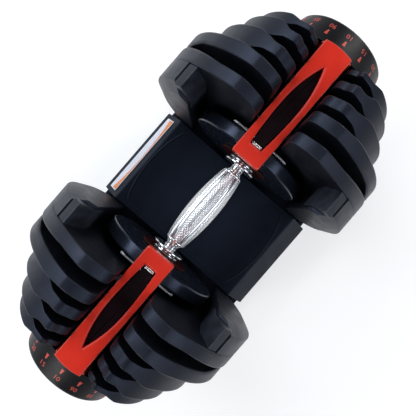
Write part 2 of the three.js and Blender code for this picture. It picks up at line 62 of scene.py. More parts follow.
def round_mm(node):
    """Lowest and highest corner of a round CAD node, and its radius."""
    low, high = box_mm(node)
    return low, high, (high.y - low.y) / 2


def placed(name, data):
    """A new object of the scene."""
    obj = bpy.data.objects.new(name, data)
    bpy.context.scene.collection.objects.link(obj)
    return obj


SHAFT_LOW, SHAFT_HIGH = box_mm("shaft")
SHAFT_HEIGHT = (SHAFT_LOW.z + SHAFT_HIGH.z) / 2
HALF_LENGTH = box_mm("right_dial_drum")[1].x


# ---------- camera and light ----------

CAMERA_ABOVE_SHAFT = 428
CAMERA_OFFSET = (2.7, -3.4)
CAMERA_TURN = 49.2
CAMERA_LENS = 35.4


def make_camera():
    data = bpy.data.cameras.new("camera")
    data.lens = CAMERA_LENS
    data.sensor_width = 36
    data.clip_start = 0.01
    camera = placed("camera", data)
    x, y = CAMERA_OFFSET
    camera.location = Vector((x, y, SHAFT_HEIGHT + CAMERA_ABOVE_SHAFT)) * MM
    camera.rotation_euler = (0, 0, math.radians(-CAMERA_TURN))
    bpy.context.scene.camera = camera


LIGHT_TARGET = (0, 0, 0.12)
SOFTBOX_SIZE = (1.8, 0.55)
STRIP_SIZE = (0.3, 1.0)
TOP_PANEL_SIZE = (0.3, 0.25)
COOL_WHITE = (0.86, 0.92, 1)
COOLER_WHITE = (0.84, 0.9, 1)
WARM_WHITE = (1, 0.98, 0.96)
WHITE = (1, 1, 1)
# name, place and size in metres, power in watts, tint
LIGHTS = (
    ("rear_softbox", (0.1, 1.15, 1.0), SOFTBOX_SIZE, 21, COOL_WHITE),
    ("front_softbox", (-0.1, -1.15, 1.0), SOFTBOX_SIZE, 11, COOLER_WHITE),
    ("left_strip", (-1.25, 0.2, 0.8), STRIP_SIZE, 7, WARM_WHITE),
    ("right_strip", (1.25, -0.2, 0.8), STRIP_SIZE, 7, WARM_WHITE),
    ("top_panel", (0, 0, 1.25), TOP_PANEL_SIZE, 0.9, WHITE),
)
WORLD_COLOUR = (0.93, 0.95, 1, 1)
WORLD_STRENGTH = 0.06
FLOOR_HALF_SIZE = 3.0
FLOOR_TONE = 0.62
FLOOR_GLOW = 0.46


def area_light(name, place, size, power, tint):
    data = bpy.data.lights.new(name, "AREA")
    data.shape = "RECTANGLE"
    data.size, data.size_y = size
    data.energy = power
    data.color = tint
    light = placed(name, data)
    light.location = place
    aim = Vector(LIGHT_TARGET) - Vector(place)
    light.rotation_euler = aim.to_track_quat("-Z", "Y").to_euler()


def make_lights():
    for light in LIGHTS:
        area_light(*light)
    world = bpy.data.worlds.new("studio")
    world.use_nodes = True
    background = world.node_tree.nodes["Background"]
    background.inputs["Color"].default_value = WORLD_COLOUR
    background.inputs["Strength"].default_value = WORLD_STRENGTH
    bpy.context.scene.world = world
    bpy.context.scene.view_settings.view_transform = "Standard"


def make_floor():
    size = FLOOR_HALF_SIZE
    mesh = bpy.data.meshes.new("floor")
    corners = [(-size, -size, 0), (size, -size, 0), (size, size, 0), (-size, size, 0)]
    mesh.from_pydata(corners, [], [(0, 1, 2, 3)])
    floor = placed("floor", mesh)
    floor.data.materials.append(shade(new_material("floor_paper"), {
        "Base Color": (FLOOR_TONE, FLOOR_TONE, FLOOR_TONE, 1), "Roughness": 0.9,
        "Emission Color": (1, 1, 1, 1), "Emission Strength": FLOOR_GLOW}))


# ---------- materials ----------

def new_material(name):
    material = bpy.data.materials.new(name)
    material.use_nodes = True
    return material


def feed(material, node, inputs):
    """Sets the sockets of a node to numbers or colours, or links them to other nodes' outputs."""
    for socket, value in inputs.items():
        if isinstance(value, bpy.types.NodeSocket):
            material.node_tree.links.new(value, node.inputs[socket])
        else:
            node.inputs[socket].default_value = value


def shade(material, inputs):
    """Sets the shader of a material."""
    feed(material, material.node_tree.nodes["Principled BSDF"], inputs)
    return material


def add(material, kind, inputs, **settings):
    """A new node with its settings."""
    node = material.node_tree.nodes.new(kind)
    for key, value in settings.items():
        setattr(node, key, value)
    feed(material, node, inputs)
    return node


def noise(material, scale, detail=3.0, roughness=0.55, stretch=(1, 1, 1)):
    """Noise in object space, so that it has a real size. Scale is in cycles per metre."""
    place = add(material, "ShaderNodeTexCoord", {})
    mapping = add(material, "ShaderNodeMapping", {"Vector": place.outputs["Object"], "Scale": stretch})
    texture = add(material, "ShaderNodeTexNoise", {"Vector": mapping.outputs["Vector"], "Scale": scale,
                                                   "Detail": detail, "Roughness": roughness})
    return texture.outputs["Fac"]


def ramp(material, fac, stops):
    """Maps a value through colour stops of (position, colour)."""
    node = add(material, "ShaderNodeValToRGB", {"Fac": fac})
    elements = node.color_ramp.elements
    for element, (position, colour) in zip(elements, stops):
        element.position = position
        element.color = (*colour, 1)
    return node.outputs["Color"]


def mapped(material, fac, low, high, start=0.3, end=0.7):
    """Maps a value from the range start to end onto the range low to high."""
    node = add(material, "ShaderNodeMapRange",
               {"Value": fac, "From Min": start, "From Max": end, "To Min": low, "To Max": high})
    return node.outputs["Result"]


def mix(material, fac, tone, second_tone):
    """From a node's colour to the fixed second one, as the factor rises; used for the painted highlight
    on edges.
    """
    node = add(material, "ShaderNodeMix", {0: fac}, data_type="RGBA")
    sockets = {socket.identifier: socket for socket in (*node.inputs, *node.outputs)}
    sockets["B_Color"].default_value = (*second_tone, 1)
    material.node_tree.links.new(tone, sockets["A_Color"])
    return sockets["Result_Color"]


def bump(material, layers):
    """Stacks bump layers of (height, depth in metres) into one normal."""
    below = {}
    for height, depth in layers:
        node = add(material, "ShaderNodeBump", {"Height": height, "Distance": depth, "Strength": 1.0,
                                                **below})
        below = {"Normal": node.outputs["Normal"]}
    return below


def edge_mask(material, start=0.52, end=0.6):
    """1 on outside edges, from the mesh's pointiness, broken up by noise; it places the painted
    highlight.
    """
    geometry = add(material, "ShaderNodeNewGeometry", {})
    sharp = mapped(material, geometry.outputs["Pointiness"], 0.0, 1.0, start, end)
    patchy = mapped(material, noise(material, 90, 4), 0.2, 1.0)
    return add(material, "ShaderNodeMath", {0: sharp, 1: patchy}, operation="MULTIPLY").outputs["Value"]


def moulded(name, dark, light, roughness, grain=1400.0, grain_depth=0.00006, second_tone=None, specular=0.3,
            sheen=(1, 1, 1)):
    """Moulded plastic: faint tone drift, fine spark-eroded grain and a paler painted highlight on the
    edges.
    """
    material = new_material(name)
    tone = ramp(material, noise(material, 26, 4), [(0.3, dark), (0.7, light)])
    # The edges take the paler tone: a painted highlight.
    if second_tone is not None:
        tone = mix(material, edge_mask(material), tone, second_tone)
    gloss = mapped(material, noise(material, 60, 5), roughness - 0.05, roughness + 0.06)
    relief = bump(material, [(noise(material, 120, 3), 0.0001), (noise(material, grain, 2), grain_depth)])
    return shade(material, {"Base Color": tone, "Specular IOR Level": specular,
                            "Specular Tint": (*sheen, 1), "Roughness": gloss, **relief})


def chromed(name, roughness=0.2):
    material = new_material(name)
    tone = ramp(material, noise(material, 40, 3), [(0.3, (0.78, 0.79, 0.8)), (0.7, (0.9, 0.9, 0.91))])
    scratches = noise(material, 500, 4, stretch=(0.15, 1, 1))
    gloss = mapped(material, scratches, roughness - 0.04, roughness + 0.06)
    return shade(material, {"Base Color": tone, "Metallic": 1.0, "Roughness": gloss,
                            **bump(material, [(scratches, 0.000004)])})


def brushed(name, tone, roughness, stretch):
    material = new_material(name)
    lines = noise(material, 900, 4, stretch=stretch)
    dark = tuple(c * 0.78 for c in tone)
    gloss = mapped(material, lines, roughness - 0.06, roughness + 0.1)
    return shade(material, {"Base Color": ramp(material, lines, [(0.3, dark), (0.7, tone)]),
                            "Metallic": 1.0, "Roughness": gloss, **bump(material, [(lines, 0.00002)])})


def rubber():
    material = new_material("foot_rubber")
    tone = ramp(material, noise(material, 300, 4), [(0.35, (0.012,) * 3), (0.7, (0.03,) * 3)])
    relief = bump(material, [(noise(material, 2500, 2), 0.00005)])
    return shade(material, {"Base Color": tone, "Roughness": 0.85, **relief})


def printed_ink(name, tone):
    material = new_material(name)
    second_tone = tuple(c * 0.7 for c in tone)
    tone = ramp(material, noise(material, 700, 4), [(0.25, second_tone), (0.55, tone)])
    relief = bump(material, [(noise(material, 1800, 2), 0.00002)])
    return shade(material, {"Base Color": tone, "Roughness": 0.45, **relief})


BLUISH = (0.62, 0.7, 1.0)

# The paler edge tone given to a moulded material is a painted highlight on its edges; on the red plastic
# it is pink.
MATERIALS = {
    "plate_skin": moulded("plate_skin", (0.003, 0.004, 0.006), (0.006, 0.007, 0.010), 0.45,
                          second_tone=(0.03, 0.035, 0.045), specular=0.36, sheen=BLUISH),
    "black_plastic": moulded("black_plastic", (0.005, 0.006, 0.008), (0.009, 0.010, 0.013), 0.4,
                             second_tone=(0.04, 0.042, 0.05), sheen=BLUISH),
    "guard_plastic": moulded("guard_plastic", (0.005, 0.007, 0.012), (0.009, 0.012, 0.018), 0.26,
                             grain_depth=0.00002, second_tone=(0.04, 0.045, 0.055), specular=0.38, sheen=BLUISH),
    "dial_plastic": moulded("dial_plastic", (0.004, 0.004, 0.005), (0.007, 0.007, 0.009), 0.42,
                            second_tone=(0.03, 0.03, 0.035), specular=0.22),
    "tray_plastic": moulded("tray_plastic", (0.003, 0.005, 0.010), (0.005, 0.008, 0.014), 0.46,
                            grain=1100.0, grain_depth=0.00007, second_tone=(0.03, 0.036, 0.05),
                            specular=0.2, sheen=BLUISH),
    "red_plastic": moulded("red_plastic", (0.56, 0.020, 0.010), (0.68, 0.028, 0.013), 0.36,
                           grain_depth=0.00002, second_tone=(0.85, 0.2, 0.15), specular=0.16),
    # The bridge's red plastic darkened many times over for its flange: painted shade on the upright face.
    "flange_red_painted_shade": moulded("flange_red_painted_shade", (0.022, 0.002, 0.0015), (0.035, 0.003, 0.002), 0.5,
                          specular=0.15),
    "window_plastic": moulded("window_plastic", (0.004, 0.001, 0.002), (0.009, 0.002, 0.005), 0.3,
                              specular=0.12),
    "chrome": chromed("polished_chrome"),
    "knurled_chrome": chromed("knurled_chrome"),
    "steel": brushed("brushed_steel", (0.44, 0.45, 0.47), 0.36, (1, 1, 0.06)),
    "zinc": brushed("zinc_plated", (0.66, 0.66, 0.62), 0.35, (0.5, 0.5, 1)),
    "rubber": rubber(),
    "digit_ink": printed_ink("digit_ink", (0.55, 0.07, 0.05)),
    "label_white": printed_ink("label_white", (0.72, 0.73, 0.8)),
    "label_orange": printed_ink("label_orange", (0.75, 0.24, 0.06)),
}


# ---------- outlines ----------

NEARLY_STRAIGHT = math.radians(88)
LONGEST_CUT = 0.45


def arc(radius, start, end, steps, centre=(0, 0)):
    """Points on an arc, in degrees."""
    points = []
    for i in range(steps + 1):
        angle = math.radians(start + (end - start) * i / steps)
        points.append((centre[0] + radius * math.cos(angle), centre[1] + radius * math.sin(angle)))
    return points


def rounded(points, radius, steps=4):
    """The closed outline with its corners rounded. radius is one value or one for each corner."""
    count = len(points)
    radii = radius if isinstance(radius, (list, tuple)) else [radius] * count
    made = []
    for i, point in enumerate(points):
        corner = Vector(point)
        before = Vector(points[i - 1]) - corner
        after = Vector(points[(i + 1) % count]) - corner
        if radii[i] <= 0 or before.angle(after) / 2 > NEARLY_STRAIGHT:
            made.append(tuple(corner))
            continue
        longest = LONGEST_CUT * min(before.length, after.length)
        cut = min(radii[i] / math.tan(before.angle(after) / 2), longest)
        made += bezier(corner + before.normalized() * cut, corner, corner + after.normalized() * cut,
                       steps)
    return made


def bezier(a, b, c, steps):
    """Points on the curve from a to c that leaves and arrives along the lines to b."""
    a, b, c = Vector(a), Vector(b), Vector(c)
    return [tuple((1 - t) ** 2 * a + 2 * t * (1 - t) * b + t ** 2 * c)
            for t in (k / steps for k in range(steps + 1))]


def inward(loop):
    """For each point of a loop, the direction into the material, long enough to keep the inset."""
    normals = []
    for i, point in enumerate(loop):
        here = Vector(point)
        back = (here - Vector(loop[i - 1])).normalized()
        ahead = (Vector(loop[(i + 1) % len(loop)]) - here).normalized()
        left_back, left_ahead = Vector((-back.y, back.x)), Vector((-ahead.y, ahead.x))
        both = left_back + left_ahead
        both = both.normalized() if both.length > 1e-6 else left_ahead
        stretch = 1 / max(0.5, both.dot(left_ahead))
        normals.append(both * stretch)
    return normals


def without_repeats(loop, shortest=0.02):
    kept = []
    for point in loop:
        if not kept or (Vector(point) - Vector(kept[-1])).length > shortest:
            kept.append(tuple(point))
    if (Vector(kept[0]) - Vector(kept[-1])).length <= shortest:
        kept.pop()
    return kept


def smoothstep(low, high, value):
    t = min(1.0, max(0.0, (value - low) / (high - low)))
    return t * t * (3 - 2 * t)


# ---------- meshes ----------

# Steps across an edge, each as its share of the inset and its share of the depth.
ROUND_EDGE = [(0, 0), (0.076, 0.383), (0.293, 0.707), (0.617, 0.924), (1, 1)]
BEVEL_EDGE = [(0, 0), (0.03, 0.14), (0.5, 0.58), (0.93, 0.975), (1, 1)]
POST_SEGMENTS = 48
SHARP_ANGLE = math.radians(40)
CARVED_SHARP_ANGLE = math.radians(35)


def along_x(u, v, w):
    """Outline in y and z, thickness along x."""
    return (w, u, v)


def along_z(u, v, w):
    """Outline in x and y, thickness along z."""
    return (u, v, w)


def slab(loops, low, high, edge=1.0, low_edge=None, cuts=(), place=along_x, bevel=None):
    """A plate with rounded edges. loops are a counterclockwise outline and clockwise holes.
    low and high give both faces, as a number or a function of the outline's coordinates.
    edge is the rounding: a number, or a function of a point that gives (inset, depth), where the
    inset is a distance or the whole move of the point.
    bevel tells for a point how much of its edge is a straight bevel. cuts are lines |u| = cut
    where a face may fold."""
    bm = bmesh.new()
    level = [face if callable(face) else lambda u, v, flat=face: flat for face in (low, high)]
    edges = (low_edge or edge, edge)
    rings = [[], []]
    for loop in loops:
        loop = without_repeats(loop)
        normals = inward(loop)
        for side, sign in ((0, -1), (1, 1)):
            levels = []
            rule = edges[side]
            for soft, straight in zip(ROUND_EDGE, BEVEL_EDGE):
                ring = []
                for point, normal in zip(loop, normals):
                    inset, depth = rule(*point) if callable(rule) else (rule, rule)
                    move = inset if isinstance(inset, Vector) else normal * inset
                    weight = bevel(*point) if bevel else 0.0
                    u_share = soft[0] * (1 - weight) + straight[0] * weight
                    w_share = soft[1] * (1 - weight) + straight[1] * weight
                    u = point[0] + move.x * u_share
                    v = point[1] + move.y * u_share
                    w = level[side](u, v) - sign * depth * (1 - w_share)
                    ring.append(bm.verts.new((u, v, w)))
                levels.append(ring)
            rings[side].append(levels)
    for low_levels, high_levels in zip(*rings):
        strip = list(reversed(low_levels)) + high_levels
        for lower, upper in zip(strip, strip[1:]):
            count = len(lower)
            for i in range(count):
                j = (i + 1) % count
                bm.faces.new((lower[i], lower[j], upper[j], upper[i]))
    for side in (0, 1):
        caps = [levels[-1] for levels in rings[side]]
        fill_cap(bm, caps, level[side], cuts, flip=side == 0)
    for vert in bm.verts:
        vert.co = Vector(place(*vert.co)) * MM
    return finished(bm)


def fill_cap(bm, loops, level, cuts, flip):
    """Closes one face of a slab, folded along the cut lines."""
    if len(loops) == 1:
        ring = loops[0]
        faces = [bm.faces.new(list(reversed(ring)) if flip else ring)]
    else:
        edges = []
        for ring in loops:
            edges += [bm.edges.get((ring[i - 1], ring[i])) for i in range(len(ring))]
        made = bmesh.ops.triangle_fill(bm, use_beauty=True, edges=edges)
        faces = [f for f in made["geom"] if isinstance(f, bmesh.types.BMFace)]
    for cut in cuts:
        for place in (-cut, cut):
            parts = set(faces)
            geometry = list(parts) + list({e for f in parts for e in f.edges})
            geometry += list({v for f in parts for v in f.verts})
            result = bmesh.ops.bisect_plane(
                bm, geom=geometry, plane_co=(place, 0, 0), plane_no=(1, 0, 0), dist=1e-4)
            faces = list({g for g in result["geom"] if isinstance(g, bmesh.types.BMFace)})
    for vert in {v for f in faces for v in f.verts}:
        vert.co.z = level(vert.co.x, vert.co.y)


def finished(bm, recalc=True):
    if recalc:
        bmesh.ops.recalc_face_normals(bm, faces=bm.faces)
    mesh = bpy.data.meshes.new("piece")
    bm.to_mesh(mesh)
    bm.free()
    for polygon in mesh.polygons:
        polygon.use_smooth = True
    mesh.set_sharp_from_angle(angle=SHARP_ANGLE)
    return mesh


def lathe(profile, segments=128, shape=None):
    """A closed profile of (x, radius) turned about the shaft. shape may move each point."""
    bm = bmesh.new()
    rings = []
    for i in range(segments):
        angle = 2 * math.pi * i / segments
        ring = []
        for x, radius in profile:
            if shape:
                x, radius = shape(x, radius, angle)
            point = (x, radius * math.sin(angle), radius * math.cos(angle))
            ring.append(bm.verts.new(Vector(point) * MM))
        rings.append(ring)
    for i in range(segments):
        here, ahead = rings[i], rings[(i + 1) % segments]
        for j in range(len(profile)):
            k = (j + 1) % len(profile)
            if profile[j][1] < 1e-6 and profile[k][1] < 1e-6:
                continue
            bm.faces.new((here[j], here[k], ahead[k], ahead[j]))
    bmesh.ops.remove_doubles(bm, verts=bm.verts, dist=1e-7)
    return finished(bm)


def merged(*meshes):
    """Several shells as one mesh."""
    bm = bmesh.new()
    for mesh in meshes:
        bm.from_mesh(mesh)
        bpy.data.meshes.remove(mesh)
    return finished(bm, recalc=False)


def shifted(mesh, x=0, y=0, z=0):
    mesh.transform(Matrix.Translation(Vector((x, y, z)) * MM))
    return mesh


def half_turned(mesh):
    """Turned half round about Z, as one head is to the other."""
    mesh.transform(Matrix.Rotation(math.pi, 4, "Z"))
    return mesh


def on_shaft(mesh):
    """Lifted from the frame of the shaft to its height above the floor."""
    mesh.transform(Matrix.Translation((0, 0, SHAFT_HEIGHT * MM)))
    return mesh


def post(profile, x=0, y=0):
    """A closed profile of (height, radius) turned about an upright axis."""
    mesh = lathe(profile, POST_SEGMENTS)
    mesh.transform(Matrix.Rotation(-math.pi / 2, 4, "Y"))
    return shifted(mesh, x, y)


def piece(name, mesh, material, body, nodes, weighted=True):
    """A finished piece in the row frame, riding on its body in place of its CAD nodes."""
    obj = placed(name, mesh)
    obj.data.materials.clear()
    obj.data.materials.append(MATERIALS[material])
    if weighted:
        modifier = obj.modifiers.new("normals", "WEIGHTED_NORMAL")
        modifier.keep_sharp = True
    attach(obj, body)
    if nodes:
        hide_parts(*nodes)


def head_piece(kind, mesh, material, body="handle", weighted=True, replace=True):
    """The same piece for both heads. body and the node's name are completed with the side."""
    for side in SIDES:
        copy = mesh.copy()
        if side == "left":
            half_turned(copy)
        node = f"{side}_{kind}"
        piece(f"{node}_finish", on_shaft(copy), material, body.format(side=side),
              [node] if replace else [], weighted)
    bpy.data.meshes.remove(mesh)


# ---------- weight plates ----------

NOTCH_HALF_WIDTH = 17.5
NOTCH_SHOULDER_DROP = 16.5
NOTCH_HUMP = 0.335
NOTCH_HUMP_WIDTH = 3
SHOULDER_RUN = 9
SHOULDER_RISE = 3.2
SHOULDER_FALL = (1.5, 10)
PLATE_EDGE = 1.1
PLATE_EDGE_GROWTH = 2.2
PLATE_EDGE_RANGE = (45, 100)
# x of the front and back in the thin middle, x of the front at the wide sides, and the ranges of
# |y| over which the front and the back slope from the one to the other.
PLATE_SHAPES = {
    1: (174.5, 180, 170.8, (43, 53), (42, 53)),
    2: (155, 163.5, 151.2, (44, 54), (43, 54)),
    3: (132.5, 143, 126.0, (50, 66), (44, 62)),
    4: (109, 120, 105.6, (94, 108), (46, 62)),
    5: (86, 97.5, 86, (66, 80), (66, 110)),
}


def plate_outline(radius):
    """Round, with an open slot at the top and soft shoulders beside it."""
    edge = radius - NOTCH_SHOULDER_DROP
    hump_angle = math.degrees(math.asin(NOTCH_HUMP))
    gap = 90 + hump_angle + NOTCH_HUMP_WIDTH
    rim = arc(radius, gap, 540 - gap, 150)
    hump = (NOTCH_HUMP * radius, radius * math.cos(math.radians(hump_angle)))
    top = (NOTCH_HALF_WIDTH + SHOULDER_RUN, edge + SHOULDER_RISE)
    bend, foot = ((NOTCH_HALF_WIDTH, edge - fall) for fall in SHOULDER_FALL)
    crest = bezier(rim[-1], hump, top, 6)
    shoulder = bezier(top, bend, foot, 8)
    right = crest[1:] + shoulder[1:]
    bottom = arc(NOTCH_HALF_WIDTH, 0, -180, 32)
    left = [(-u, v) for u, v in reversed(right)]
    return rim[:-1] + right + bottom + left


def face_level(thin, wide, ramp_range):
    """x of a plate's face at a distance |y| from the middle, with soft folds."""
    start, end = ramp_range

    def level(u, v):
        share = min(1.0, max(0.0, (abs(u) - start) / (end - start)))
        return thin + (wide - thin) * share
    return level


def plate_edge(u, v):
    """Edges are crisp beside the notch and fuller round the sides and below."""
    from_notch = math.hypot(u, min(v, 0) * 0.8)
    size = PLATE_EDGE + PLATE_EDGE_GROWTH * smoothstep(*PLATE_EDGE_RANGE, from_notch)
    return size, size


def plain_plate(number):
    low, high, radius = round_mm(f"right_plate_{number}")
    front, back, wide_front, front_ramp, back_ramp = PLATE_SHAPES[number]
    return slab([plate_outline(radius)], face_level(front, wide_front, front_ramp),
                face_level(back, high.x, back_ramp), edge=plate_edge,
                cuts=sorted({*front_ramp, *back_ramp}))


def build_plates():
    for number in range(1, 6):
        mesh = plain_plate(number)
        if number == 5:
            mesh = merged(mesh, *lobes_and_pads())
        mesh = merged(mesh, hook(number))
        head_piece(f"plate_{number}", mesh, "plate_skin", "{side}_plate_" + str(number))


LOBE_WALL = 71
LOBE_WALL_TOP = 62
LOBE_FRONT = 61
LOBE_BACK = 86.6
LOBE_TOP = (90.2, 78.4)
LOBE_BEVEL_START = (79.9, 69.6)
LOBE_BEVEL = (13.5, 7)
LOBE_CORNER_RADIUS = 9
LOBE_EDGE = 1.2
PAD_X = (64, 86.3)
PAD_DROP = 0.9
PAD_INNER_Y = 70.2
PAD_TOP_Y = (79.6, 88.2)
PAD_FOOT_Z = 40
PAD_SHOULDER_Z = 64.5


def lobe():
    """A thick block at the side of the innermost plate, with a wide bevel at its front rim."""
    radius = round_mm("right_plate_5")[2]
    top = math.degrees(math.atan2(LOBE_TOP[1], LOBE_TOP[0]))
    rim = arc(radius, -top, top, 48)
    steep = [LOBE_BEVEL_START, (LOBE_WALL, LOBE_WALL_TOP)]
    corners = [rim[-1], *steep, *[(y, -z) for y, z in reversed(steep)], rim[0]]
    radii = [0, 0, LOBE_CORNER_RADIUS, LOBE_CORNER_RADIUS, 0, 0]
    outline = rounded(corners, radii, 6) + rim[1:-1]
    inset, depth = LOBE_BEVEL

    def on_rim(u, v):
        return math.hypot(u, v) > radius - 0.6

    def front_edge(u, v):
        if not on_rim(u, v):
            return LOBE_EDGE, LOBE_EDGE
        if abs(v) > abs(rim[-1][1]) - 0.1:
            goal = Vector((LOBE_BEVEL_START[0], math.copysign(LOBE_BEVEL_START[1], v)))
            return goal - Vector((u, v)), depth
        return -inset * Vector((u, v)).normalized(), depth
    return slab([outline], LOBE_FRONT, LOBE_BACK, edge=0.3, low_edge=front_edge,
                bevel=lambda u, v: 1.0 if on_rim(u, v) else 0.0)


def pad():
    """A raised block on the upper slope of a lobe."""
    radius = round_mm("right_plate_5")[2] - PAD_DROP
    inner, outer = PAD_TOP_Y
    start = math.degrees(math.acos(outer / radius))
    end = math.degrees(math.acos(inner / radius))
    corners = [(PAD_INNER_Y, PAD_FOOT_Z), (outer, PAD_FOOT_Z), *arc(radius, start, end, 6),
               (PAD_INNER_Y, PAD_SHOULDER_Z)]
    return slab([corners], PAD_X[0], PAD_X[1], edge=0.9)


def lobes_and_pads():
    made = [lobe(), pad()]
    for mesh in tuple(made):
        other = mesh.copy()
        other.transform(Matrix.Scale(-1, 4, (0, 1, 0)))
        other.flip_normals()
        made.append(other)
    return made


HOOK_HALF_WIDTH = 7
HOOK_Z = (-34.5, -29)
HOOK_GAP = 3.4
HOOK_ROOT = 1


def hook(number):
    """The hook below the shaft that the selector disc catches."""
    disc_low = box_mm(f"right_selector_disc_{number}")[0].x
    tip, root = disc_low + HOOK_GAP, PLATE_SHAPES[number][0] + HOOK_ROOT
    low, high = HOOK_Z
    section = rectangle((-HOOK_HALF_WIDTH, low), (HOOK_HALF_WIDTH, high))
    return slab([rounded(section, 1.2)], tip, root, edge=0.5)


# ---------- more ways to make a mesh ----------

def ring_profile(inner, outer, x_range, edge):
    """A ring's closed profile of (x, radius) with rounded outer corners."""
    start, end = x_range
    corners = [(start, inner), (start, outer), (end, outer), (end, inner)]
    return rounded(corners, [min(edge, 0.3), edge, edge, min(edge, 0.3)], 4)


def circle(radius, steps=64):
    return arc(radius, 0, 360, steps)[:-1]


def hole(radius, steps=64):
    return circle(radius, steps)[::-1]


def rectangle(low_corner, high_corner, corner_radius=0.0):
    (u0, v0), (u1, v1) = low_corner, high_corner
    points = [(u0, v0), (u1, v0), (u1, v1), (u0, v1)]
    return rounded(points, corner_radius, 5) if corner_radius else points


def sweep(path, radius, closed=False, sides=10):
    """A round wire along a path of points."""
    bm = bmesh.new()
    points = [Vector(point) for point in path]
    count = len(points)
    rings = []
    side = None
    for i, point in enumerate(points):
        before = points[i - 1] if i or closed else point
        after = points[(i + 1) % count] if i < count - 1 or closed else point
        ahead = (after - before).normalized()
        if side is None:
            side = ahead.orthogonal().normalized()
        side = (side - ahead * side.dot(ahead)).normalized()
        other = ahead.cross(side)
        ring = []
        for k in range(sides):
            angle = 2 * math.pi * k / sides
            offset = side * math.cos(angle) + other * math.sin(angle)
            ring.append(bm.verts.new((point + offset * radius) * MM))
        rings.append(ring)
    for i in range(count if closed else count - 1):
        here, ahead_ring = rings[i], rings[(i + 1) % count]
        turn = nearest_turn(here, ahead_ring) if i == count - 1 else 0
        for k in range(sides):
            j = (k + 1) % sides
            bm.faces.new((here[k], here[j], ahead_ring[(j + turn) % sides],
                          ahead_ring[(k + turn) % sides]))
    if not closed:
        bm.faces.new(rings[0])
        bm.faces.new(rings[-1][::-1])
    return finished(bm)


def nearest_turn(here, ahead):
    """By how many corners the last ring of a closed wire is turned from the first one."""
    return min(range(len(ahead)), key=lambda k: (here[0].co - ahead[k].co).length)


def evaluated(obj):
    """A copy of an object's mesh, with its modifiers or its text worked out."""
    bpy.context.view_layer.update()
    view = bpy.context.evaluated_depsgraph_get()
    return bpy.data.meshes.new_from_object(obj.evaluated_get(view))


def carved(mesh, *cutters):
    """The mesh with other closed meshes cut out of it."""
    base = placed("base", mesh)
    tools = [placed("tool", cutter) for cutter in cutters]
    for tool in tools:
        modifier = base.modifiers.new("cut", "BOOLEAN")
        modifier.object = tool
        modifier.solver = "EXACT"
    result = evaluated(base)
    for obj in (base, *tools):
        data = obj.data
        bpy.data.objects.remove(obj)
        bpy.data.meshes.remove(data)
    for polygon in result.polygons:
        polygon.use_smooth = True
    result.set_sharp_from_angle(angle=CARVED_SHARP_ANGLE)
    return result


def slab_z(loops, low, high, **options):
    return slab(loops, low, high, place=along_z, **options)


# ---------- guard disc and side plate ----------

SHAFT_BORE = 6.8
SEAT_HALF_WIDTH = 15.2
SEAT_FLOOR = 56.5
PIN_BORE = 4.3
PIN_BORE_TOP = -30
STEEL_HALF_WIDTH = 31


def build_guard():
    low, high, radius = round_mm("right_guard_disc")
    edge = math.degrees(math.acos(SEAT_HALF_WIDTH / radius))
    outline = arc(radius, 180 - edge, 360 + edge, 150)
    outline += [(SEAT_HALF_WIDTH, SEAT_FLOOR), (-SEAT_HALF_WIDTH, SEAT_FLOOR)]
    disc = slab([outline, hole(SHAFT_BORE, 48)], low.x, high.x,
                edge=lambda u, v: (2.2, 2.2) if math.hypot(u, v) > radius - 1 else (0.5, 0.5))
    lower, upper = box_mm("right_lock_pin")
    bore = post([(-radius - 5, 0), (-radius - 5, PIN_BORE), (PIN_BORE_TOP, PIN_BORE),
                 (PIN_BORE_TOP, 0)], (lower.x + upper.x) / 2)
    head_piece("guard_disc", carved(disc, bore), "guard_plastic")


def build_side_plate():
    low, high = box_mm("right_side_plate")
    radius = SHAFT_HEIGHT - low.z
    side = math.degrees(math.acos(STEEL_HALF_WIDTH / radius))
    top = high.z - SHAFT_HEIGHT
    crown = math.degrees(math.asin(top / radius))
    outline = arc(radius, 180 + side, 360 - side, 40)
    outline += arc(radius, side, crown, 3) + arc(radius, 180 - crown, 180 - side, 3)
    mesh = slab([outline, hole(SHAFT_BORE, 48)], low.x, high.x, edge=0.35)
    head_piece("side_plate", mesh, "steel")


# ---------- bridge and window ----------

BAR_HALF_WIDTH = 14.9
BAR_BOW = 2.6
FLANGE_X = (62.1, 63.7)
FLANGE_RADIUS = 28
LEG_X = (184.1, 186)
LEG_HALF_WIDTH = 16.9
LEG_FOOT = -17.6
SLEEVE_HOLE = 13.9
RISER_FOOT = 20
BAR_Z = (57, 67)
DRUM_CLEARANCE_X = 185.8
DRUM_CLEARANCE_Z = 58.7
WINDOW_START = 71
WINDOW_TIP = 165
WINDOW_WIDEST = 117
WINDOW_SHOULDER = 143
WINDOW_START_HALF = 6.3
WINDOW_HALF = 8.9
CLIP_SHELF_END = 75.4
WINDOW_BEVEL = (2.2, 1.1)
MOST_SMOOTH_CORNERS = 8


def window(inset, start=WINDOW_START):
    """Long opening of the bridge, narrowing to a rounded point outwards. Counterclockwise."""
    first, widest = WINDOW_START_HALF - inset, WINDOW_HALF - inset
    begin = start + inset
    middle = (begin + WINDOW_WIDEST) / 2
    tip = WINDOW_TIP - 2 * inset
    lower = bezier((begin, -first), (middle, -widest), (WINDOW_WIDEST, -widest), 14)
    lower += bezier((WINDOW_WIDEST, -widest), (WINDOW_SHOULDER, -widest), (tip, 0), 16)[1:]
    outline = lower + [(u, -v) for u, v in reversed(lower[:-1])]
    radii = [0.0] * len(outline)
    radii[0] = radii[-1] = 1.6
    radii[len(lower) - 1] = 1.4
    return rounded(outline, radii, 4)


